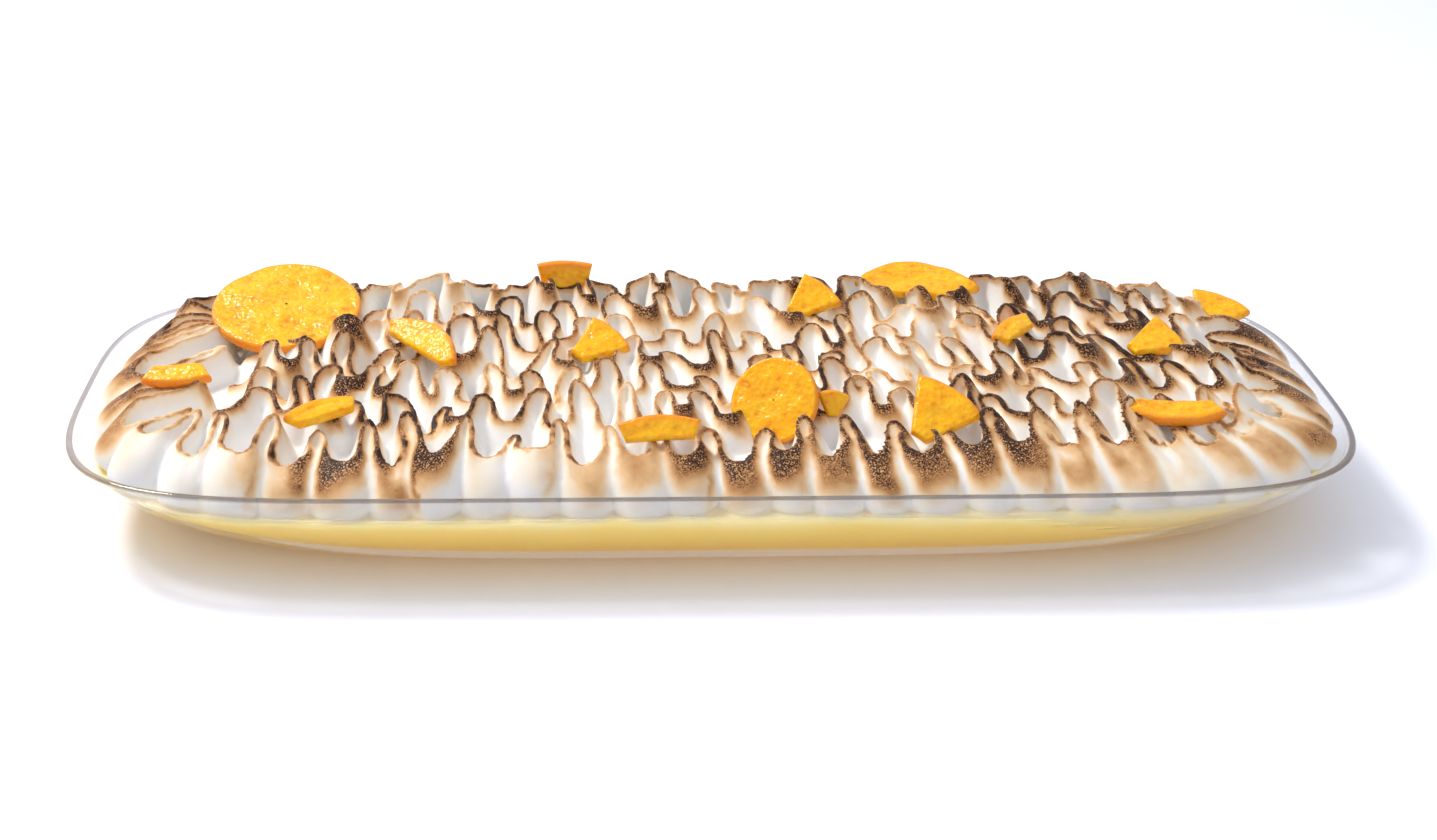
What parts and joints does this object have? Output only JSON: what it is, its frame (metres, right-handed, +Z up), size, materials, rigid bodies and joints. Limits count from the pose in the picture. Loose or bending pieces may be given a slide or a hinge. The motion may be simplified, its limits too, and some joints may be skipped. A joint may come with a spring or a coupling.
{
  "type": "meringue dessert",
  "caption": "Long clear glass dish of set yellow citrus curd under a ruffled, torch-browned meringue topped with candied orange pieces",
  "frame": {"origin": "middle of the dish's base, on the surface it stands on", "axes": "+X along the dish towards the right of the picture, +Y across it away from the viewer, +Z up"},
  "size_m": [0.5796, 0.2266, 0.0787],
  "materials": {
    "glass": "clear, polished",
    "curd": "set citrus curd, smooth, softly translucent",
    "meringue": "matt white foam, browned to near black on its edges",
    "candied_orange": "candied orange, glossy, translucent"
  },
  "bodies": {
    "root": {"dish": "glass", "curd": "curd", "meringue": "meringue", "orange_round_left": "candied_orange", "orange_strip_left": "candied_orange", "orange_strip_front_left": "candied_orange", "orange_strip_back_left": "candied_orange", "orange_block_back": "candied_orange", "orange_wedge_middle": "candied_orange", "orange_strip_front": "candied_orange", "orange_wedge_back": "candied_orange", "orange_tongue_middle": "candied_orange", "orange_slip_middle": "candied_orange", "orange_lens_back": "candied_orange", "orange_wedge_front": "candied_orange", "orange_strip_right": "candied_orange", "orange_wedge_right": "candied_orange", "orange_lens_right": "candied_orange", "orange_wedge_far_right": "candied_orange"}
  },
  "joints": []
}
